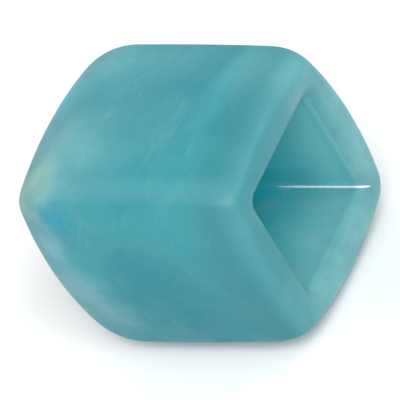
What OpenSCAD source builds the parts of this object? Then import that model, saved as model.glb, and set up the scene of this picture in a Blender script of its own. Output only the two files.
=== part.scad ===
// Tumbling barrel for polishing stones: one thick urethane casting with a square mouth,
// and the plug lid that closes it, drawn off along the barrel's axis.
// +X runs along the axis, from the closed end towards the mouth. +Z is up while the barrel
// lies on one side. The origin is the centre of the closed end's flat outer face.

/* [Barrel outside] */
// Width across opposite sides at mid-length
body_w = 161; // [145:1:180]
// Length from the closed end to the rim of the mouth
body_len = 188; // [170:1:230]
// Rise of the rounded-out side faces, measured at the middle of a side
side_rise = 10.5; // [6:0.5:16]
// Fullness of the sides at mid-length, over their ends
side_bow = 1.5; // [0:0.5:4]
// Narrowing of each side from the closed end to the mouth
mould_draft = 2; // [0:0.5:4]
// Radius of the long corners at mid-length
corner_r = 4.5; // [3:0.5:14]

/* [Closed end and rim] */
// Rounding of the closed end, measured along the axis
end_axial = 50; // [30:1:60]
// Rounding of the closed end, measured across the sides
end_radial = 28.5; // [20:0.5:36]
// How fast the long corners widen round the closed end, in mm of radius per mm across
end_corner_growth = 0.55; // [0:0.05:0.8]
// Rounding of the rim's outer edge, measured along the axis
rim_axial = 30; // [15:1:40]
// Rounding of the rim's outer edge, measured across the sides
rim_radial = 12; // [6:0.5:13]
// How fast the long corners widen round the rim, in mm of radius per mm across
rim_corner_growth = 1.6; // [0:0.1:1.7]

/* [Cavity] */
// Width of the square mouth
mouth_w = 92; // [84:1:96]
// Radius of the lip inside the mouth
lip_r = 10; // [5:0.5:11]
// Radius of the cavity's four long corners
cavity_corner_r = 5; // [4:0.5:10]
// Narrowing of each cavity wall from the lip to the floor
cavity_draft = 1.5; // [0.5:0.5:3]
// Thickness of the closed end
floor_t = 28; // [20:1:36]
// Radius where the cavity's walls meet its floor
floor_r = 16; // [10:1:24]

/* [Lid] */
// How far the lid stands off the barrel
lid_travel = 150; // [50:1:250]
// Width of the lid's flange
flange_w = 150; // [130:1:158]
// Thickness of the lid's flange
flange_t = 12; // [8:1:20]
// Length of the plug that fills the mouth
plug_len = 28; // [20:1:40]
// Gap between the plug and the mouth on each side
plug_gap = 0.9; // [0.8:0.1:1.5]
// Width of the outer cover plate
cover_w = 124; // [100:1:130]
// Width of the inner pressure plate
pressure_w = 80; // [60:1:90]
// Diameter of the clamp bolt
bolt_d = 8; // [6:1:10]
// Diameter of the thumb nut
nut_d = 38; // [32:1:50]

/* [Hidden] */
$fn = 64;

// Steps along a side, round a long corner and round an edge of the barrel
side_steps = 8;
corner_steps = 4;
edge_steps = 8;
// Smallest radius of the cavity's corners round its floor
least_corner_r = 2;
// A side arc so large that the cavity's walls are flat
flat_arc_r = 20000;
// Radius of the arc that a side face follows across the barrel
chord_half = body_w / 2 - side_rise;
side_arc_r = (pow(chord_half, 2) + pow(side_rise, 2)) / (2 * side_rise);

// Stack of the lid along the axis, seated on the rim
seat_gap = 0.3;
flange_x = body_len + seat_gap;
cover_x = flange_x + flange_t;
cover_t = 2;
washer_x = cover_x + cover_t;
washer_t = 1.6;
washer_d = 20;
running_gap = 0.4;
nut_x = washer_x + washer_t + running_gap;
nut_t = 15;
plug_end_x = flange_x - plug_len;
pressure_t = 3;
pressure_x = plug_end_x - pressure_t;
bolt_head_t = 4.5;
bolt_head_d = 19;
bolt_tip = 5;
bolt_bore_gap = 0.25;
nut_bore_gap = 0.1;
flange_corner_r = 30;
cover_corner_r = 20;
nut_lobes = 6;
nut_flute_d = 9;
nut_hub_d = 20;
nut_hub_t = 4;
// Overlap that lets a cut run past the face it leaves
past = 1;

// Half-width of the outside at a distance x from the closed end
function side_half(x) =
    let (t = x / body_len)
    body_w / 2 - side_bow * pow(2 * t - 1, 2) - mould_draft * (t - 0.5);

// Outline of a square with arced sides and round corners, as points across the axis.
// half is the distance to the middle of a side.
function outline(half, arc_r, round_r) =
    let (centre = arc_r - half,
         reach = arc_r - round_r,
         corner = (sqrt(2 * pow(reach, 2) - pow(centre, 2)) - centre) / 2,
         sweep = atan2(corner, corner + centre))
    [for (side = [0:3])
        for (p = concat(
            [for (i = [0:side_steps])
                let (a = sweep * (2 * i / side_steps - 1))
                [arc_r * cos(a) - centre, arc_r * sin(a)]],
            [for (i = [1:corner_steps - 1])
                let (a = sweep + (90 - 2 * sweep) * i / corner_steps)
                [corner + round_r * cos(a), corner + round_r * sin(a)]]))
            [p[0] * cos(90 * side) - p[1] * sin(90 * side),
             p[0] * sin(90 * side) + p[1] * cos(90 * side)]];

// One ring of the barrel's skin
function ring(x, half, arc_r, round_r) =
    [for (p = outline(half, arc_r, round_r)) [x, p[0], p[1]]];

// Ring on the outside, drawn in by an edge rounding that widens the long corners
function outer_ring(x, inset, growth) =
    ring(x, side_half(x) - inset, side_arc_r - inset, corner_r + growth * inset);

// Ring on the wall of the mouth and the cavity, opened out by outset
function inner_ring(x, half, outset) =
    ring(x, half + outset, flat_arc_r, max(cavity_corner_r + outset, least_corner_r));

// The skin runs from the middle of the closed end over the outside, round the rim and
// down the cavity to the middle of its floor
function closed_end_rings() =
    [for (i = [0:edge_steps])
        let (a = 90 * i / edge_steps)
        outer_ring(end_axial * (1 - cos(a)), end_radial * (1 - sin(a)), end_corner_growth)];
function side_rings() =
    [for (i = [1:side_steps - 1])
        let (x0 = end_axial, x1 = body_len - rim_axial)
        outer_ring(x0 + (x1 - x0) * i / side_steps, 0, 0)];
function rim_rings() =
    [for (i = [0:edge_steps])
        let (a = 90 - 90 * i / edge_steps)
        outer_ring(body_len - rim_axial * (1 - cos(a)), rim_radial * (1 - sin(a)),
                   rim_corner_growth)];
function lip_rings() =
    [for (i = [0:edge_steps])
        let (a = 90 * i / edge_steps)
        inner_ring(body_len - lip_r * (1 - cos(a)), mouth_w / 2, lip_r * (1 - sin(a)))];
function floor_rings() =
    [for (i = [0:edge_steps])
        let (a = 90 * i / edge_steps)
        inner_ring(floor_t + floor_r * (1 - sin(a)), mouth_w / 2 - cavity_draft,
                   -floor_r * (1 - cos(a)))];

// Solid between a list of rings, with a flat face on the first and the last
module skin(rings) {
    n = len(rings[0]);
    last = len(rings) - 1;
    points = [for (r = rings) for (p = r) p];
    bands = [for (k = [0:last - 1])
        for (i = [0:n - 1])
            let (j = (i + 1) % n)
            for (face = [[k * n + i, k * n + j, k * n + n + j],
                         [k * n + i, k * n + n + j, k * n + n + i]])
                face];
    first_cap = [for (i = [0:n - 1]) n - 1 - i];
    last_cap = [for (i = [0:n - 1]) last * n + i];
    polyhedron(points, concat([first_cap, last_cap], bands));
}

// Square plate with round corners, its thickness along +X from x
module plate(x, thickness, width, round_r) {
    straight = width - 2 * round_r;
    translate([x, 0, 0])
        rotate([90, 0, 90])
            linear_extrude(thickness) {
                square([width, straight], center = true);
                square([straight, width], center = true);
                for (sy = [-1, 1], sz = [-1, 1])
                    translate([sy * straight / 2, sz * straight / 2])
                        circle(round_r);
            }
}

// Round bar along +X from x
module bar(x, length, diameter) {
    translate([x, 0, 0])
        rotate([0, 90, 0])
            cylinder(h = length, d = diameter);
}

module bolt_bore(x0, x1, gap) {
    bar(x0 - past, x1 - x0 + 2 * past, bolt_d + 2 * gap);
}

module barrel_body() {
    color([0.33, 0.64, 0.68])
        skin(concat(closed_end_rings(), side_rings(), rim_rings(), lip_rings(), floor_rings()));
}

module lid_plug() {
    color([0.30, 0.60, 0.65])
        translate([lid_travel, 0, 0])
            difference() {
                union() {
                    plate(flange_x, flange_t, flange_w, flange_corner_r);
                    plate(plug_end_x, plug_len + past, mouth_w - 2 * plug_gap,
                          cavity_corner_r - plug_gap / 2);
                }
                bolt_bore(plug_end_x, cover_x, bolt_bore_gap);
            }
}

module cover_plate() {
    color([0.75, 0.76, 0.77])
        translate([lid_travel, 0, 0])
            difference() {
                plate(cover_x, cover_t, cover_w, cover_corner_r);
                bolt_bore(cover_x, washer_x, bolt_bore_gap);
            }
}

module pressure_plate() {
    color([0.70, 0.71, 0.72])
        translate([lid_travel, 0, 0])
            difference() {
                plate(pressure_x, pressure_t, pressure_w, cavity_corner_r);
                bolt_bore(pressure_x, plug_end_x, bolt_bore_gap);
            }
}

module clamp_bolt() {
    tip_x = nut_x + nut_t + bolt_tip;
    color([0.62, 0.63, 0.64])
        translate([lid_travel, 0, 0]) {
            bar(pressure_x - bolt_head_t, bolt_head_t, bolt_head_d);
            bar(pressure_x - past, tip_x - pressure_x + past, bolt_d);
        }
}

module lid_washer() {
    color([0.80, 0.80, 0.81])
        translate([lid_travel, 0, 0])
            difference() {
                bar(washer_x, washer_t, washer_d);
                bolt_bore(washer_x, washer_x + washer_t, bolt_bore_gap);
            }
}

module thumb_nut() {
    color([0.10, 0.10, 0.11])
        translate([lid_travel, 0, 0])
            difference() {
                union() {
                    bar(nut_x, nut_t, nut_hub_d);
                    bar(nut_x + nut_hub_t, nut_t - nut_hub_t, nut_d);
                }
                for (i = [0:nut_lobes - 1])
                    rotate([360 * i / nut_lobes, 0, 0])
                        translate([0, 0, nut_d / 2 + nut_flute_d / 5])
                            bar(nut_x - past, nut_t + 2 * past, nut_flute_d);
                bolt_bore(nut_x, nut_x + nut_t, nut_bore_gap);
            }
}

barrel_body();
lid_plug();
cover_plate();
pressure_plate();
clamp_bolt();
lid_washer();
thumb_nut();
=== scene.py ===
import math

import bmesh
import bpy
import numpy as np
from mathutils import Matrix, Vector, noise


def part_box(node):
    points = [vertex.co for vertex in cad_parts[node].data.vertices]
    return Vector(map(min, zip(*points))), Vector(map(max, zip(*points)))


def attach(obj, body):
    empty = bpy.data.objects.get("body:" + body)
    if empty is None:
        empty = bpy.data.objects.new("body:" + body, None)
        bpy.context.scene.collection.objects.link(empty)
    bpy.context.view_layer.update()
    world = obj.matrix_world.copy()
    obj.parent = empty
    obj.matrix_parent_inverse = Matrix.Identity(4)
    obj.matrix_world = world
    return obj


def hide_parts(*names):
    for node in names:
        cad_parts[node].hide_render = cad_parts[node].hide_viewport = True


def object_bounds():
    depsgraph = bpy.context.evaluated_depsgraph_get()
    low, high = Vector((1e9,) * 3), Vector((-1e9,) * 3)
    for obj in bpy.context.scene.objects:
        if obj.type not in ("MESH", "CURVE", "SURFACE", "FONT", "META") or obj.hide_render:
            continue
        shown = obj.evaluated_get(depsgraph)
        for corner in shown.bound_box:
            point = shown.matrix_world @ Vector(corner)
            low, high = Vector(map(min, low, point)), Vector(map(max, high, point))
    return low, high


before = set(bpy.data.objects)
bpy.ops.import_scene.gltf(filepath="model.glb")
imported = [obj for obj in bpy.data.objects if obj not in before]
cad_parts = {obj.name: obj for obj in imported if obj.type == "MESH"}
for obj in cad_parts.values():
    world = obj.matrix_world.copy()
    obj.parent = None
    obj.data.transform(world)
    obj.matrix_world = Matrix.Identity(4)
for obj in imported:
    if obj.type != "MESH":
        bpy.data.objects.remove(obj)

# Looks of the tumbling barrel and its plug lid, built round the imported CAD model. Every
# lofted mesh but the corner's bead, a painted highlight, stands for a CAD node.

cad_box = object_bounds()

# ---- Sizes, in metres. Lengths, widths and places come from the frame where it has them. ----
BARREL_LO, BARREL_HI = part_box("barrel_body")
BODY_LEN = BARREL_HI[0] - BARREL_LO[0]
BODY_W = BARREL_HI[1] - BARREL_LO[1]

# The casting's section and its edges
SIDE_RISE = 0.0105
SIDE_BOW = 0.0015
MOULD_DRAFT = 0.002
CORNER_R = 0.0045
END_AXIAL, END_RADIAL, END_CORNER_GROWTH = 0.050, 0.0285, 0.55
RIM_AXIAL, RIM_RADIAL, RIM_CORNER_GROWTH = 0.030, 0.012, 1.6
CHORD_HALF = BODY_W / 2 - SIDE_RISE
SIDE_ARC_R = (CHORD_HALF ** 2 + SIDE_RISE ** 2) / (2 * SIDE_RISE)

# The mouth and the cavity
MOUTH_HALF = 0.046
LIP_R = 0.010
CAVITY_CORNER_R = 0.005
LEAST_CORNER_R = 0.002
CAVITY_DRAFT = 0.0015
FLOOR_T = 0.028
FLOOR_R = 0.016
FLAT_ARC_R = 20.0

# A hand-poured casting is never quite true: its ends lean a little and its faces ripple
LEAN_Y, LEAN_Z = 0.006, 0.016
LEAN_ROOM = 0.0012
RIPPLE, RIPPLE_SCALE = 0.0002, 16.0

# The pale bead along the cavity's corner, a painted highlight: how far in from the rim it runs,
# its radius, how far its middle is sunk into both walls, and how its radius wavers along it
BEAD_FROM, BEAD_TO = 0.0006, 0.080
BEAD_R, BEAD_SUNK = 0.0008, 0.0003
BEAD_WAVER, BEAD_WAVER_SCALE = 0.15, 400

# Half-width that holds all of the cavity's walls, up to the start of the lip
CAVITY_REACH = 0.0475

# The lid's rubber: the gap between plug and mouth, the flange's thickness, the corners, the
# edges, and the short slope where the plug meets the flange
PLUG_GAP, FLANGE_T = 0.0009, 0.012
PLUG_CORNER_R, FLANGE_CORNER_R = 0.00455, 0.030
RUBBER_EDGE_R = 0.003
SLOPE_LEN, SLOPE_RISE = 0.002, 0.0005

# Its seal grooves: three round the plug, placed from the plug's end, and one in the flange,
# placed from the axis
GROOVE_DEPTH, GROOVE_HALF_W = 0.0008, 0.0016
PLUG_GROOVES = (0.009, 0.015, 0.021)
FLANGE_GROOVE = 0.060

# The steel plates: eased edges, corners, and the pressed groove's depth and place
PLATE_EDGE_R, PLATE_GROOVE = 0.0005, 0.0006
COVER_CORNER_R, COVER_GROOVE_AT = 0.020, 0.054
PRESSURE_CORNER_R, PRESSURE_GROOVE_AT = 0.005, 0.034

# The clamp bolt. A power of 1 would make its head's dome round, and less makes it fuller.
BOLT_R, BOLT_HOLE_R = 0.004, 0.00425
BOLT_HEAD_T, BOLT_HEAD_POWER = 0.0045, 0.6
THREAD_PITCH, THREAD_DEPTH, THREAD_LEN = 0.00125, 0.0005, 0.026
THREAD_STEPS = 9
TIP_LEN, TIP_INSET = 0.0004, 0.0008

# The thumb nut: its bore, hub, grip, flutes and dished outer face
NUT_BORE_R, NUT_BORE_EASE = 0.0041, 0.0006
NUT_HUB_R, NUT_HUB_T = 0.010, 0.004
NUT_EDGE_R = 0.0025
NUT_FLUTES, NUT_FLUTE_DEPTH, NUT_FLUTE_POWER = 6, 0.0028, 2.5
NUT_DISH, NUT_BORE_SUNK = 0.0035, 0.004

# Small step at the edge of the bolt's head and of the nut's hub
SMALL_EASE = 0.0005

# Steps along a side, round a long corner, round an edge, and in towards a flat end's middle
SIDE_STEPS = 30
CORNER_STEPS = 12
EDGE_STEPS = 22
CAP_STEPS = 16
# Steps round the edges of the rubber and the nut, of the steel plates, and of the bolt's head
LID_EDGE_STEPS = 8
PLATE_STEPS = 6
HEAD_STEPS = 14
# Points round a circle, round the nut and round the bead
ROUND_POINTS = 96
NUT_POINTS = 192
BEAD_POINTS = 16
# Rings along the barrel's sides, down the cavity's walls and along the bead
SIDE_RINGS, WALL_RINGS, BEAD_RINGS = 40, 50, 70
# Rings along the plug, across the flange, and across a plate's grooved and plain faces
PLUG_RINGS, FLANGE_RINGS = 90, 60
GROOVED_RINGS, PLAIN_RINGS = 120, 12
# Rings along the bolt's shank, down the nut's bore, along its hub and across its dished face
SHANK_RINGS = 12
BORE_RINGS, HUB_RINGS, DISH_RINGS = 10, 4, 14


# ---- Shapes ----

def outline(half, arc_r, round_r):
    """Points round a square with arced sides and round corners, across the axis."""
    centre = arc_r - half
    reach = arc_r - round_r
    corner = (math.sqrt(2 * reach ** 2 - centre ** 2) - centre) / 2
    sweep = math.atan2(corner, corner + centre)
    side = sweep * np.linspace(-1, 1, SIDE_STEPS + 1)
    turn = np.linspace(sweep, math.pi / 2 - sweep, CORNER_STEPS + 1)[1:-1]
    y = np.concatenate([arc_r * np.cos(side) - centre, corner + round_r * np.cos(turn)])
    z = np.concatenate([arc_r * np.sin(side), corner + round_r * np.sin(turn)])
    return np.vstack([np.column_stack(q) for q in ((y, z), (-z, y), (-y, -z), (z, -y))])


def square_ring(x, half, round_r, arc_r=FLAT_ARC_R):
    """An outline as a ring at x, with flat sides unless their arc's radius is given."""
    flat = outline(half, arc_r, round_r)
    return np.column_stack([np.full(len(flat), x), flat])


def round_ring(x, radius, count=ROUND_POINTS):
    """Ring of one radius, or of a radius for each of its points."""
    turn = np.linspace(0, 2 * math.pi, count, endpoint=False)
    return np.column_stack([np.full(count, x), radius * np.cos(turn), radius * np.sin(turn)])


def cap_rings(edge):
    """Rings that close an end: the edge ring drawn in towards its middle."""
    middle = edge.mean(axis=0)
    return [middle + (edge - middle) * (k / CAP_STEPS) for k in range(CAP_STEPS - 1, 0, -1)]


def loft(name, rings, hollow=False):
    """A closed mesh through a list of rings: capped, or joined end to end if it is hollow."""
    if not hollow:
        rings = cap_rings(rings[0])[::-1] + rings + cap_rings(rings[-1])
    count = len(rings[0])
    faces = []
    for k in range(len(rings) if hollow else len(rings) - 1):
        a, b = k * count, (k + 1) % len(rings) * count
        for i in range(count):
            j = (i + 1) % count
            faces.append((a + i, a + j, b + j, b + i))
    if not hollow:
        last = (len(rings) - 1) * count
        faces.append(tuple(range(count - 1, -1, -1)))
        faces.append(tuple(range(last, last + count)))
    mesh = bpy.data.meshes.new(name)
    mesh.from_pydata(np.vstack(rings).tolist(), [], faces)
    shape = bmesh.new()
    shape.from_mesh(mesh)
    bmesh.ops.recalc_face_normals(shape, faces=shape.faces)
    shape.to_mesh(mesh)
    shape.free()
    mesh.polygons.foreach_set("use_smooth", [True] * len(mesh.polygons))
    mesh.update()
    obj = bpy.data.objects.new(name, mesh)
    bpy.context.collection.objects.link(obj)
    return obj


def quarter_turn(steps=EDGE_STEPS):
    """Cosines and sines round a quarter of a circle, from 0 to 90 degrees."""
    turn = np.linspace(0, math.pi / 2, steps + 1)
    return list(zip(np.cos(turn), np.sin(turn)))


# ---- The barrel ----

def side_half(x):
    """Distance from the axis to the middle of a side, at x."""
    t = (x - BARREL_LO[0]) / BODY_LEN
    return BODY_W / 2 - SIDE_BOW * (2 * t - 1) ** 2 - MOULD_DRAFT * (t - 0.5)


def outer_ring(x, inset=0.0, growth=0.0):
    """Ring on the outside, drawn in by an edge rounding that widens the long corners."""
    return square_ring(x, side_half(x) - inset, CORNER_R + growth * inset, SIDE_ARC_R - inset)


def inner_ring(x, half, outset=0.0):
    """Ring on the wall of the mouth or the cavity, opened out by outset."""
    return square_ring(x, half + outset, max(CAVITY_CORNER_R + outset, LEAST_CORNER_R))


def barrel_rings():
    """The skin from the closed end over the outside, round the rim and down the cavity."""
    back, front = BARREL_LO[0], BARREL_HI[0]
    wall_lo, wall_hi = back + FLOOR_T + FLOOR_R, front - LIP_R
    closed_end = [outer_ring(back + END_AXIAL * (1 - c), END_RADIAL * (1 - s),
                             END_CORNER_GROWTH)
                  for c, s in quarter_turn()]
    sides = [outer_ring(x)
             for x in np.linspace(back + END_AXIAL, front - RIM_AXIAL, SIDE_RINGS)[1:-1]]
    rim = [outer_ring(front - RIM_AXIAL * (1 - c), RIM_RADIAL * (1 - s), RIM_CORNER_GROWTH)
           for c, s in quarter_turn()[::-1]]
    lip = [inner_ring(front - LIP_R * (1 - c), MOUTH_HALF, LIP_R * (1 - s))
           for c, s in quarter_turn()]
    walls = [inner_ring(wall_hi + (wall_lo - wall_hi) * t, MOUTH_HALF - CAVITY_DRAFT * t)
             for t in np.linspace(0, 1, WALL_RINGS)[1:-1]]
    cavity_floor = [inner_ring(back + FLOOR_T + FLOOR_R * (1 - s), MOUTH_HALF - CAVITY_DRAFT,
                               -FLOOR_R * (1 - c))
                    for c, s in quarter_turn()]
    return closed_end + sides + rim + lip + walls + cavity_floor


def ripple(mesh, depth, scale):
    """Draw a mesh's points inwards by a soft noise, as a cast or moulded face ripples."""
    places = [v.co.copy() for v in mesh.vertices]
    normals = [n.vector.copy() for n in mesh.vertex_normals]
    moved = [p - n * depth * (1 + noise.noise(p * scale) + 0.4 * noise.noise(p * scale * 3))
             for p, n in zip(places, normals)]
    mesh.vertices.foreach_set("co", [c for p in moved for c in p])
    mesh.update()


def lean(mesh):
    """Tilt the casting's two ends a little, without leaving the barrel's own length."""
    places = np.empty(3 * len(mesh.vertices))
    mesh.vertices.foreach_get("co", places)
    places = places.reshape(-1, 3)
    places[:, 0] *= 1 - 2 * LEAN_ROOM / BODY_LEN
    places[:, 0] += LEAN_ROOM + LEAN_Y * places[:, 1] + LEAN_Z * places[:, 2]
    mesh.vertices.foreach_set("co", places.ravel())
    mesh.update()


def make_barrel():
    """The casting, with rippled faces and leaning ends."""
    barrel = loft("barrel_casting", barrel_rings())
    ripple(barrel.data, RIPPLE, RIPPLE_SCALE)
    lean(barrel.data)
    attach(barrel, "barrel")
    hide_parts("barrel_body")
    return barrel


def make_corner_highlight_bead():
    """The pale bead in the cavity's corner, a painted highlight: it starts fast and thins slowly
    further in.
    """
    rings = []
    for t in np.linspace(0, 1, BEAD_RINGS):
        depth = BEAD_FROM + (BEAD_TO - BEAD_FROM) * t
        swell = min(1.0, 0.45 + 30 * t, 0.15 + 3.2 * (1 - t))
        waver = 1 + BEAD_WAVER * noise.noise(Vector((depth * BEAD_WAVER_SCALE, 0, 0)))
        circle = round_ring(BARREL_HI[0] - depth, BEAD_R * swell * waver, BEAD_POINTS)
        on_lip = max(0.0, 1 - depth / LIP_R)
        outset = LIP_R * (1 - math.sqrt(1 - on_lip ** 2))
        half = MOUTH_HALF - CAVITY_DRAFT * t / 2 + outset
        corner = half - (CAVITY_CORNER_R + outset) * (1 - math.sqrt(0.5)) + BEAD_SUNK
        rings.append(circle + np.array([0, corner, -corner]))
    bead = loft("corner_highlight_bead", rings)
    lean(bead.data)
    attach(bead, "barrel")
    return bead


# ---- The lid ----

def groove(away, depth=GROOVE_DEPTH):
    """How deep a groove is at a distance away from its middle."""
    return depth * max(0.0, 1 - (away / GROOVE_HALF_W) ** 2)


def make_lid_rubber():
    """The plug, with seal grooves round it, and the flange, with a groove that meets the rim."""
    lo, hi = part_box("lid_plug")
    plug_x, flange_x, cover_x = lo[0], hi[0] - FLANGE_T, hi[0]
    plug_half, flange_half = MOUTH_HALF - PLUG_GAP, hi[1]
    edge = RUBBER_EDGE_R
    rings = [square_ring(plug_x + edge * (1 - c), plug_half - edge * (1 - s), PLUG_CORNER_R)
             for c, s in quarter_turn(LID_EDGE_STEPS)]
    for x in np.linspace(plug_x + edge, flange_x - SLOPE_LEN, PLUG_RINGS)[1:]:
        nearest = min(abs(x - plug_x - place) for place in PLUG_GROOVES)
        rings.append(square_ring(x, plug_half - groove(nearest), PLUG_CORNER_R))
    face_from, face_to = plug_half + SLOPE_RISE, flange_half - edge
    for t in np.linspace(0, 1, FLANGE_RINGS)[1:]:
        half = face_from + (face_to - face_from) * t
        round_r = PLUG_CORNER_R + (FLANGE_CORNER_R - edge - PLUG_CORNER_R) * t
        rings.append(square_ring(flange_x + groove(half - FLANGE_GROOVE), half, round_r))
    rings += [square_ring(flange_x + edge * (1 - c), flange_half - edge * (1 - s),
                          FLANGE_CORNER_R - edge * (1 - s))
              for c, s in quarter_turn(LID_EDGE_STEPS)][1:]
    rings += [square_ring(cover_x - edge * (1 - c), flange_half - edge * (1 - s),
                          FLANGE_CORNER_R - edge * (1 - s))
              for c, s in quarter_turn(LID_EDGE_STEPS)[::-1]]
    rubber = loft("lid_rubber", rings)
    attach(rubber, "lid")
    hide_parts("lid_plug")
    return rubber


def hole_ring(x, around, radius):
    """A circle with one point for each point of another ring, in the same directions."""
    spokes = around[:, 1:] / np.linalg.norm(around[:, 1:], axis=1, keepdims=True)
    return np.column_stack([np.full(len(around), x), radius * spokes])


def make_plate(name, node, corner_r, groove_at):
    """A steel plate with a bolt hole, eased edges and a pressed groove round its outer face."""
    lo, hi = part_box(node)
    edge = PLATE_EDGE_R
    flat = hi[1] - edge

    def face(x, t, sink=0.0):
        """Ring on a flat face, from the hole's edge at t = 0 to the outer edge at t = 1."""
        around = square_ring(x, flat, corner_r - edge)
        hole = hole_ring(x, around, BOLT_HOLE_R + edge)
        away = BOLT_HOLE_R + (flat - BOLT_HOLE_R) * t - groove_at
        return hole + (around - hole) * t - [groove(away, sink), 0, 0]

    rings = [face(hi[0], t, PLATE_GROOVE) for t in np.linspace(0, 1, GROOVED_RINGS)]
    rings += [square_ring(hi[0] - edge * (1 - s), flat + edge * c, corner_r - edge * (1 - c))
              for c, s in quarter_turn(PLATE_STEPS)[::-1]][1:]
    rings += [square_ring(lo[0] + edge * (1 - s), flat + edge * c, corner_r - edge * (1 - c))
              for c, s in quarter_turn(PLATE_STEPS)]
    rings += [face(lo[0], t) for t in np.linspace(1, 0, PLAIN_RINGS)[1:]]
    rings += [hole_ring(x, rings[0], BOLT_HOLE_R) for x in (lo[0] + edge, hi[0] - edge)]
    plate = loft(name, rings, hollow=True)
    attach(plate, "lid")
    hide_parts(node)
    return plate


def make_washer():
    """A round washer with a bolt hole and eased edges."""
    lo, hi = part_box("lid_washer")
    edge = PLATE_EDGE_R
    rings = [round_ring(hi[0] - edge * (1 - s), hi[1] - edge * (1 - c))
             for c, s in quarter_turn(PLATE_STEPS)[::-1]]
    rings += [round_ring(lo[0] + edge * (1 - s), hi[1] - edge * (1 - c))
              for c, s in quarter_turn(PLATE_STEPS)]
    hole = ((lo[0], edge), (lo[0] + edge, 0), (hi[0] - edge, 0), (hi[0], edge))
    rings += [round_ring(x, BOLT_HOLE_R + inset) for x, inset in hole]
    washer = loft("lid_washer_eased", rings, hollow=True)
    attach(washer, "lid")
    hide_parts("lid_washer")
    return washer


def make_bolt():
    """A domed head, a plain shank, and a screw thread at the nut's end."""
    lo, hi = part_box("clamp_bolt")
    head_r, neck_x, thread_x = hi[1], lo[0] + BOLT_HEAD_T, hi[0] - THREAD_LEN
    head = [round_ring(lo[0] + BOLT_HEAD_T * (1 - s), head_r * c ** BOLT_HEAD_POWER)
            for c, s in quarter_turn(HEAD_STEPS)[::-1]][1:]
    neck = [round_ring(neck_x, head_r - SMALL_EASE)]
    shank = [round_ring(x, BOLT_R) for x in np.linspace(neck_x, thread_x, SHANK_RINGS)[:-1]]
    turn = np.linspace(0, 1, ROUND_POINTS, endpoint=False)
    thread = []
    for x in np.arange(thread_x, hi[0] - TIP_LEN, THREAD_PITCH / THREAD_STEPS):
        phase = ((x - thread_x) / THREAD_PITCH - turn) % 1
        fade = min(1.0, (x - thread_x) / THREAD_PITCH, (hi[0] - x) / THREAD_PITCH)
        depth = THREAD_DEPTH * fade * abs(2 * phase - 1)
        thread.append(round_ring(x, BOLT_R - depth))
    tip = [round_ring(hi[0], BOLT_R - TIP_INSET)]
    bolt = loft("clamp_bolt_threaded", head + neck + shank + thread + tip)
    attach(bolt, "lid")
    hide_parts("clamp_bolt")
    return bolt


def lobed_ring(x, radius, depth=NUT_FLUTE_DEPTH):
    """Circle round the nut's grip, with flutes of a given depth cut into it."""
    turn = np.linspace(0, 2 * math.pi, NUT_POINTS, endpoint=False)
    flute = 0.5 - 0.5 * np.cos(NUT_FLUTES * (turn + math.pi / NUT_FLUTES))
    return round_ring(x, radius - depth * flute ** NUT_FLUTE_POWER, NUT_POINTS)


def make_nut():
    """A lobed hand nut on a hub, with rounded edges and a dished outer face."""
    lo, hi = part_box("thumb_nut")
    grip_x, grip_r, edge = lo[0] + NUT_HUB_T, (hi[1] - lo[1]) / 2, NUT_EDGE_R
    bore = np.linspace(hi[0] - NUT_BORE_SUNK, lo[0], BORE_RINGS)
    hub = np.linspace(lo[0] + SMALL_EASE, grip_x, HUB_RINGS)
    rings = [round_ring(x, NUT_BORE_R, NUT_POINTS) for x in bore]
    rings += [round_ring(lo[0], NUT_HUB_R - SMALL_EASE, NUT_POINTS)]
    rings += [round_ring(x, NUT_HUB_R, NUT_POINTS) for x in hub]
    rings += [lobed_ring(grip_x + edge * (1 - c), grip_r - edge * (1 - s))
              for c, s in quarter_turn(LID_EDGE_STEPS)]
    rings += [lobed_ring(hi[0] - edge * (1 - c), grip_r - edge * (1 - s))
              for c, s in quarter_turn(LID_EDGE_STEPS)[::-1]]
    face_from, face_to = grip_r - edge, NUT_BORE_R + NUT_BORE_EASE
    for t in np.linspace(0, 1, DISH_RINGS)[1:]:
        radius = face_from + (face_to - face_from) * t
        dish = NUT_DISH * math.sin(t * math.pi / 2) ** 4
        rings.append(lobed_ring(hi[0] - dish, radius, NUT_FLUTE_DEPTH * (1 - t) ** 2))
    nut = loft("thumb_nut_lobed", rings, hollow=True)
    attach(nut, "nut")
    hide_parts("thumb_nut")
    return nut


# ---- Materials ----

def rgb(red, green, blue):
    """A display colour from 0 to 255, as the linear colour that a shader takes."""
    def linear(c):
        c /= 255
        return c / 12.92 if c <= 0.04045 else ((c + 0.055) / 1.055) ** 2.4
    return (linear(red), linear(green), linear(blue), 1.0)


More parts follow.
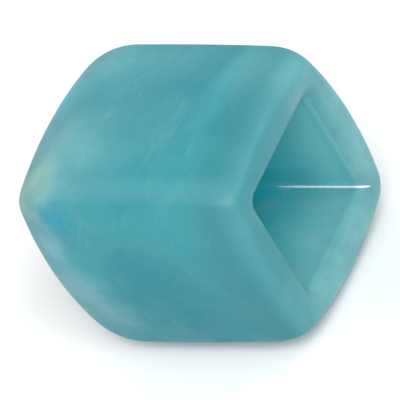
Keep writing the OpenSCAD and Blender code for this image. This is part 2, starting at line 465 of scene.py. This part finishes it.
class Nodes:
    """Short calls for building a node material round one Principled shader."""

    def __init__(self, name, **shader_inputs):
        self.material = bpy.data.materials.new(name)
        self.material.use_nodes = True
        self.tree = self.material.node_tree
        self.tree.nodes.clear()
        self.output = self.add("ShaderNodeOutputMaterial")
        self.shader = self.add("ShaderNodeBsdfPrincipled")
        self.link(self.shader.outputs["BSDF"], self.output.inputs["Surface"])
        self.position = self.add("ShaderNodeTexCoord").outputs["Object"]
        for key, value in shader_inputs.items():
            self.shader.inputs[key.replace("_", " ")].default_value = value

    def add(self, kind, **settings):
        node = self.tree.nodes.new(kind)
        for key, value in settings.items():
            setattr(node, key, value)
        return node

    def link(self, source, target):
        self.tree.links.new(source, target)

    def feed(self, target, value):
        if isinstance(value, bpy.types.NodeSocket):
            self.link(value, target)
        else:
            target.default_value = value

    def noise(self, scale, detail=3.0, roughness=0.5, distortion=0.0, vector=None):
        node = self.add("ShaderNodeTexNoise")
        self.link(vector or self.position, node.inputs["Vector"])
        for key, value in (("Scale", scale), ("Detail", detail), ("Roughness", roughness),
                           ("Distortion", distortion)):
            node.inputs[key].default_value = value
        return node.outputs["Fac"]

    def math(self, operation, a, b=0.0):
        node = self.add("ShaderNodeMath", operation=operation)
        self.feed(node.inputs[0], a)
        self.feed(node.inputs[1], b)
        return node.outputs[0]

    def remap(self, value, low, high, to_low=0.0, to_high=1.0):
        node = self.add("ShaderNodeMapRange", interpolation_type="SMOOTHSTEP")
        self.feed(node.inputs["Value"], value)
        for key, number in (("From Min", low), ("From Max", high), ("To Min", to_low),
                            ("To Max", to_high)):
            node.inputs[key].default_value = number
        return node.outputs["Result"]

    def mix(self, factor, a, b):
        node = self.add("ShaderNodeMix", data_type="RGBA")
        self.feed(node.inputs[0], factor)
        self.feed(node.inputs[6], a)
        self.feed(node.inputs[7], b)
        return node.outputs[2]

    def vector(self, operation, a, b=None, scale=None):
        node = self.add("ShaderNodeVectorMath", operation=operation)
        self.feed(node.inputs[0], a)
        if b is not None:
            self.feed(node.inputs[1], b)
        if scale is not None:
            node.inputs["Scale"].default_value = scale
        return node.outputs["Value" if operation == "DISTANCE" else "Vector"]

    def axis(self, name):
        node = self.add("ShaderNodeSeparateXYZ")
        self.link(self.position, node.inputs[0])
        return node.outputs[name]

    def stretched(self, scale, vector=None):
        """Position scaled by a different amount along each axis, for grain with a direction."""
        return self.vector("MULTIPLY", vector or self.position, scale)

    def warp(self, scale, amount):
        """Position stirred by noise, so that patches and veins have flowing edges."""
        swirl = self.add("ShaderNodeTexNoise")
        self.link(self.position, swirl.inputs["Vector"])
        swirl.inputs["Scale"].default_value = scale
        centred = self.vector("SUBTRACT", swirl.outputs["Color"], (0.5, 0.5, 0.5))
        return self.vector("ADD", self.position, self.vector("SCALE", centred, scale=amount))

    def near(self, place, centre, reach):
        """1 at centre, falling smoothly to 0 at a distance reach."""
        return self.remap(self.vector("DISTANCE", place, centre), 0.0, reach, 1.0, 0.0)

    def bump(self, height, strength, distance, normal=None):
        node = self.add("ShaderNodeBump")
        node.inputs["Strength"].default_value = strength
        node.inputs["Distance"].default_value = distance
        self.link(height, node.inputs["Height"])
        if normal:
            self.link(normal, node.inputs["Normal"])
        return node.outputs["Normal"]

    def finish(self, colour, roughness=None, normal=None):
        for socket, value in (("Base Color", colour), ("Roughness", roughness),
                              ("Normal", normal)):
            if value is not None:
                self.link(value, self.shader.inputs[socket])
        return self.material


DEEP_TEAL = rgb(36, 128, 140)
TEAL = rgb(54, 140, 149)
# Milky teal, also used for a painted highlight along the top face's front edge
MILK_AND_HIGHLIGHT_TEAL = rgb(98, 158, 164)
# Pale milky teal, also used for a painted sheen round the rim
PALE_AND_SHEEN_TEAL = rgb(126, 180, 182)
# Painted light in the cavity: a lit and a shaded copy of its walls, and saturated teal for light
# bounced round deep inside
CAVITY_LIT_WALL = rgb(108, 190, 196)
CAVITY_SHADED_WALL = rgb(100, 168, 173)
CAVITY_DEEP_BOUNCE = rgb(0, 192, 208)
# Darker teal for the cavity's far wall, near its corner
CAVITY_CORNER_DARK = rgb(28, 140, 154)
# The lid rubber's darker tone, also used for painted shade round the barrel's rim
LID_AND_RIM_SHADE_TEAL = rgb(48, 114, 122)
SHADED_TEAL = rgb(0, 116, 130)
SPECK_TEAL = rgb(40, 96, 104)


def marbled(m, stirred):
    """Teal urethane with cloudy milk in it, drawn out into flow lines."""
    clouds = m.noise(11.0, detail=4.0, roughness=0.5, distortion=0.6, vector=stirred)
    colour = m.mix(m.remap(clouds, 0.36, 0.66), DEEP_TEAL, TEAL)
    drawn_out = m.stretched((1.0, 0.35, 0.35), stirred)
    streaks = m.noise(70.0, detail=5.0, roughness=0.6, distortion=1.6, vector=drawn_out)
    colour = m.mix(m.remap(streaks, 0.52, 0.80, 0.0, 0.45), colour, MILK_AND_HIGHLIGHT_TEAL)
    veins = m.math("ABSOLUTE", m.math("SUBTRACT", m.noise(18.0, 2.0, vector=stirred), 0.5))
    return m.mix(m.remap(veins, 0.0, 0.018, 0.11, 0.0), colour, MILK_AND_HIGHLIGHT_TEAL)


def in_cavity(m):
    """1 on the cavity's walls and floor, 0 on the rest of the barrel."""
    inside = m.math("GREATER_THAN", m.axis("X"), BARREL_LO[0] + FLOOR_T * 0.9)
    for name in ("Y", "Z"):
        near_axis = m.math("LESS_THAN", m.math("ABSOLUTE", m.axis(name)), CAVITY_REACH)
        inside = m.math("MULTIPLY", inside, near_axis)
    return inside


def cast_surface(m):
    """Bump of a poured casting: slow dimples, and a very fine grain."""
    dimples = m.bump(m.noise(120.0, 2.0), 0.10, 0.001)
    return m.bump(m.noise(1400.0, 2.0), 0.12, 0.0002, dimples)


# Stains and cloudy places in the casting, and patches of painted light and shade as marked
# below:
# colour, centre, reach and strength
PATCHES = [
    (rgb(150, 188, 190), (0.034, -0.030, 0.076), 0.066, 0.38),
    (rgb(156, 194, 176), (0.026, -0.058, 0.071), 0.033, 0.62),
    (rgb(0, 138, 162), (0.046, -0.073, 0.060), 0.021, 0.72),
    (rgb(84, 186, 208), (0.010, 0.020, 0.066), 0.040, 0.58),
    # Painted reflection: the next three are a paler band on the front face where it rounds into
    # the closed end
    (rgb(132, 180, 192), (0.030, -0.076, 0.034), 0.026, 0.46),
    (rgb(140, 182, 188), (0.038, -0.079, -0.004), 0.030, 0.50),
    (rgb(138, 182, 178), (0.048, -0.078, -0.032), 0.028, 0.40),
    # Painted shade: the lower part of the front face darker
    (SHADED_TEAL, (0.118, -0.079, -0.026), 0.110, 0.86),
    (rgb(104, 158, 160), (0.085, 0.000, 0.080), 0.075, 0.26),
    # Painted reflection: the next three are paler patches along the top face's back edge
    (rgb(136, 190, 194), (0.040, 0.048, 0.076), 0.045, 0.24),
    (rgb(124, 178, 184), (0.100, 0.062, 0.075), 0.045, 0.20),
    (rgb(136, 190, 194), (0.170, 0.045, 0.073), 0.042, 0.30),
    # Painted shade on the top face
    (SHADED_TEAL, (0.108, 0.014, 0.080), 0.040, 0.22),
    # A dark spot at the end of the front long corner, by the rim
    (rgb(42, 112, 124), (0.183, -0.060, 0.063), 0.014, 0.50),
    # Painted highlight on the mouth's lip, near its top corner
    (rgb(184, 196, 172), (0.182, 0.034, 0.048), 0.018, 0.60),
    (rgb(140, 182, 160), (0.184, -0.040, -0.050), 0.016, 0.40),
]


def cast_material(name):
    """The shader that the barrel and the lid's rubber share."""
    m = Nodes(name, Subsurface_Weight=0.35, Subsurface_Scale=0.010, Specular_IOR_Level=0.28,
              Sheen_Weight=0.03, Sheen_Roughness=0.4)
    m.shader.inputs["Subsurface Radius"].default_value = (0.25, 1.0, 1.0)
    return m


def stains_and_painted_light(m, colour, patchy):
    """Stains, cloudy places and patches of painted light and shade, with broken edges."""
    broken = m.remap(m.noise(55.0, 3.0, 0.5, 0.6), 0.30, 0.65, 0.72, 1.10)
    for patch_colour, centre, reach, strength in PATCHES:
        spot = m.math("MULTIPLY", m.near(patchy, centre, reach), strength)
        colour = m.mix(m.math("MULTIPLY", spot, broken), colour, patch_colour)
    return colour


def round_the_mouth(m, colour):
    """Painted shade darkening the rim, with a painted sheen over it that is stronger to one
    side.
    """
    x = m.axis("X")
    # Painted shade: darker towards the rim
    colour = m.mix(m.remap(x, 0.140, 0.170, 0.0, 0.55), colour, LID_AND_RIM_SHADE_TEAL)
    # Painted sheen over the rim, stronger to one side
    across = m.math("SUBTRACT", m.axis("Y"), m.axis("Z"))
    painted_sheen = m.math("MULTIPLY", m.remap(across, -0.08, 0.10, 0.20, 1.25), m.noise(40.0))
    return m.mix(m.math("MULTIPLY", m.remap(x, 0.170, 0.185), painted_sheen), colour, PALE_AND_SHEEN_TEAL)


def cavity_light_and_swirls(m, colour, stirred, patchy):
    """Cavity colour: painted bounce light far in, painted light and shade on the walls, swirls,
    a darker corner.
    """
    x = m.axis("X")
    # Painted bounce light: saturated teal far in, giving way to the walls' colours towards the
    # mouth
    depth = m.remap(m.math("ADD", x, m.math("MULTIPLY", m.noise(22.0), 0.03)), 0.095, 0.185)
    # Painted light and shade: the +Y and +Z walls take the lit copy, the others the shaded one
    upper_wall = m.remap(m.math("ADD", m.axis("Y"), m.axis("Z")), -0.003, 0.003)
    cavity_colour = m.mix(depth, CAVITY_DEEP_BOUNCE, m.mix(upper_wall, CAVITY_SHADED_WALL, CAVITY_LIT_WALL))
    swirls = m.noise(38.0, 5.0, 0.60, 1.6, vector=m.stretched((0.5, 1.0, 1.0), stirred))
    cavity_colour = m.mix(m.remap(swirls, 0.48, 0.66, 0.0, 0.42), cavity_colour, PALE_AND_SHEEN_TEAL)
    # Darker on the far wall near the corner
    near_far_corner = m.math("MULTIPLY", m.near(patchy, (0.138, 0.046, -0.042), 0.022), 0.30)
    cavity_colour = m.mix(near_far_corner, cavity_colour, CAVITY_CORNER_DARK)
    fading = m.math("ADD", x, m.math("MULTIPLY", m.noise(50.0, 3.0), 0.008))
    cover = m.math("MULTIPLY", in_cavity(m), m.remap(fading, 0.174, 0.194, 0.95, 0.0))
    return m.mix(cover, colour, cavity_colour)


def ridge_highlight(m, colour):
    """Painted highlight: a paler line along the top face, close to the front long corner."""
    on_ridge = m.vector("DISTANCE", m.stretched((0.0, 1.0, 1.0)), (0.0, -0.060, 0.073))
    return m.mix(m.remap(on_ridge, 0.002, 0.014, 0.30, 0.0), colour, MILK_AND_HIGHLIGHT_TEAL)


def specked(m, colour):
    """Fine dark specks, and a few pale ones."""
    dark = m.remap(m.noise(700.0, 1.0), 0.74, 0.80, 0.0, 0.6)
    colour = m.mix(dark, colour, SPECK_TEAL)
    return m.mix(m.remap(m.noise(330.0, 0.0), 0.85, 0.90, 0.0, 0.35), colour, PALE_AND_SHEEN_TEAL)


def barrel_urethane():
    m = cast_material("barrel_urethane_marbled")
    stirred, patchy = m.warp(14.0, 0.05), m.warp(60.0, 0.016)
    colour = stains_and_painted_light(m, marbled(m, stirred), patchy)
    colour = round_the_mouth(m, colour)
    colour = cavity_light_and_swirls(m, colour, stirred, patchy)
    colour = specked(m, ridge_highlight(m, colour))
    polish = m.remap(m.noise(30.0, 3.0), 0.3, 0.7, 0.40, 0.52)
    return m.finish(colour, polish, cast_surface(m))


def lid_urethane():
    m = cast_material("lid_urethane_marbled")
    colour = m.mix(0.45, marbled(m, m.warp(18.0, 0.04)), LID_AND_RIM_SHADE_TEAL)
    polish = m.remap(m.noise(40.0, 3.0), 0.3, 0.7, 0.36, 0.50)
    return m.finish(colour, polish, cast_surface(m))


# The bead's white: a painted highlight
def bead_painted_highlight():
    m = Nodes("bead_painted_highlight", Specular_IOR_Level=0.8)
    haze = m.remap(m.noise(500.0, 2.0), 0.35, 0.65)
    colour = m.mix(haze, rgb(244, 250, 250), rgb(206, 232, 234))
    return m.finish(colour, m.remap(haze, 0.0, 1.0, 0.15, 0.35))


def brushed_steel():
    m = Nodes("plate_steel_brushed", Metallic=1.0)
    across = m.stretched((1.0, 1.0, 0.02))
    lines = m.noise(2600.0, 3.0, 0.6, vector=across)
    smears = m.noise(24.0, 3.0)
    colour = m.mix(lines, rgb(126, 129, 132), rgb(178, 180, 182))
    colour = m.mix(m.remap(smears, 0.5, 0.75, 0.0, 0.35), colour, rgb(104, 107, 110))
    rough = m.remap(lines, 0.3, 0.7, 0.26, 0.44)
    return m.finish(colour, rough, m.bump(lines, 0.25, 0.0001))


def turned_steel():
    m = Nodes("bolt_steel_zinc", Metallic=1.0)
    crystals = m.noise(420.0, 3.0, 0.6)
    colour = m.mix(crystals, rgb(112, 114, 112), rgb(170, 170, 164))
    rough = m.remap(m.noise(90.0, 3.0), 0.3, 0.7, 0.26, 0.46)
    return m.finish(colour, rough, m.bump(crystals, 0.12, 0.0001))


def moulded_plastic():
    m = Nodes("nut_plastic_textured")
    pebble = m.noise(1500.0, 2.0, 0.55)
    dust = m.remap(m.noise(60.0, 4.0), 0.52, 0.75, 0.0, 0.30)
    colour = m.mix(dust, rgb(32, 32, 34), rgb(96, 98, 98))
    rough = m.remap(pebble, 0.3, 0.7, 0.42, 0.60)
    return m.finish(colour, rough, m.bump(pebble, 0.35, 0.0002))


def floor_white():
    m = Nodes("floor_white")
    shade = m.remap(m.noise(3.0, 2.0), 0.3, 0.7)
    return m.finish(m.mix(shade, (0.930, 0.930, 0.930, 1), (0.945, 0.945, 0.945, 1)))


# ---- Camera, floor and light ----

# The camera's angles in degrees, distance and far limit in metres, sensor and lens in mm
CAMERA_AZIMUTH, CAMERA_ELEVATION, CAMERA_ROLL = 46.99, 38.63, -33.36
CAMERA_DISTANCE, CAMERA_FAR = 5.38, 50
SENSOR, LENS = 36.0, 735.0
# How far the aim point lies from the barrel's middle, to the view's right and up
AIM_RIGHT, AIM_UP = 0.0028, -0.0044
# The floor's half-width, and the strength of the white all round
FLOOR_HALF = 6.0
WORLD_STRENGTH = 0.80
# The key lamp's place, to the camera's right, up and back
KEY_RIGHT, KEY_UP, KEY_BACK = 0.3, 0.35, 3.0
KEY_SIZE, KEY_WATTS = 2.6, 80
# The fill lamp, which lights the lid's side
FILL_PLACE, FILL_TARGET = (1.5, 1.1, 1.5), (0.4, 0, -0.1)
FILL_SIZE, FILL_WATTS = 1.2, 11


def barrel_middle():
    return Vector(((BARREL_LO[0] + BARREL_HI[0]) / 2, 0, 0))


def camera_axes():
    """The camera's right, up and backward directions, from its three angles."""
    a, e, r = (math.radians(x) for x in (CAMERA_AZIMUTH, CAMERA_ELEVATION, CAMERA_ROLL))
    back = Vector((math.sin(a) * math.cos(e), -math.cos(a) * math.cos(e), math.sin(e)))
    level = Vector((math.cos(a), math.sin(a), 0))
    upright = back.cross(level)
    right = level * math.cos(r) + upright * math.sin(r)
    up = upright * math.cos(r) - level * math.sin(r)
    return right, up, back


def make_camera():
    right, up, back = camera_axes()
    place = barrel_middle() + right * AIM_RIGHT + up * AIM_UP + back * CAMERA_DISTANCE
    data = bpy.data.cameras.new("camera")
    data.sensor_width = SENSOR
    data.lens = LENS
    data.clip_end = CAMERA_FAR
    camera = bpy.data.objects.new("camera", data)
    turn = Matrix((right, up, back)).transposed().to_4x4()
    camera.matrix_world = Matrix.Translation(place) @ turn
    bpy.context.collection.objects.link(camera)
    bpy.context.scene.camera = camera


def make_floor():
    half, z = FLOOR_HALF, cad_box[0][2]
    mesh = bpy.data.meshes.new("floor")
    corners = [(-half, -half, z), (half, -half, z), (half, half, z), (-half, half, z)]
    mesh.from_pydata(corners, [], [(0, 1, 2, 3)])
    floor = bpy.data.objects.new("floor", mesh)
    floor.data.materials.append(floor_white())
    bpy.context.collection.objects.link(floor)


def make_lamp(name, place, target, size, watts):
    data = bpy.data.lights.new(name, "AREA")
    data.shape = "DISK"
    data.size = size
    data.energy = watts
    lamp = bpy.data.objects.new(name, data)
    lamp.location = place
    lamp.rotation_euler = (target - place).to_track_quat("-Z", "Y").to_euler()
    bpy.context.collection.objects.link(lamp)


def make_lights():
    world = bpy.data.worlds.new("studio")
    world.use_nodes = True
    background = world.node_tree.nodes["Background"]
    background.inputs["Color"].default_value = (1, 1, 1, 1)
    background.inputs["Strength"].default_value = WORLD_STRENGTH
    bpy.context.scene.world = world
    right, up, back = camera_axes()
    key_place = back * KEY_BACK + up * KEY_UP + right * KEY_RIGHT
    make_lamp("key", key_place, barrel_middle(), KEY_SIZE, KEY_WATTS)
    make_lamp("fill", Vector(FILL_PLACE), Vector(FILL_TARGET), FILL_SIZE, FILL_WATTS)
    bpy.context.scene.view_settings.view_transform = "Standard"


def dress(obj, material):
    """Give an object its one material."""
    obj.data.materials.clear()
    obj.data.materials.append(material)


make_camera()
dress(make_barrel(), barrel_urethane())
dress(make_corner_highlight_bead(), bead_painted_highlight())
dress(make_lid_rubber(), lid_urethane())
zinc = turned_steel()
dress(make_bolt(), zinc)
dress(make_nut(), moulded_plastic())
steel = brushed_steel()
for piece_name, node_name, corner_r, groove_at in (
        ("cover_plate_pressed", "cover_plate", COVER_CORNER_R, COVER_GROOVE_AT),
        ("pressure_plate_pressed", "pressure_plate", PRESSURE_CORNER_R, PRESSURE_GROOVE_AT)):
    dress(make_plate(piece_name, node_name, corner_r, groove_at), steel)
dress(make_washer(), zinc)
make_floor()
make_lights()
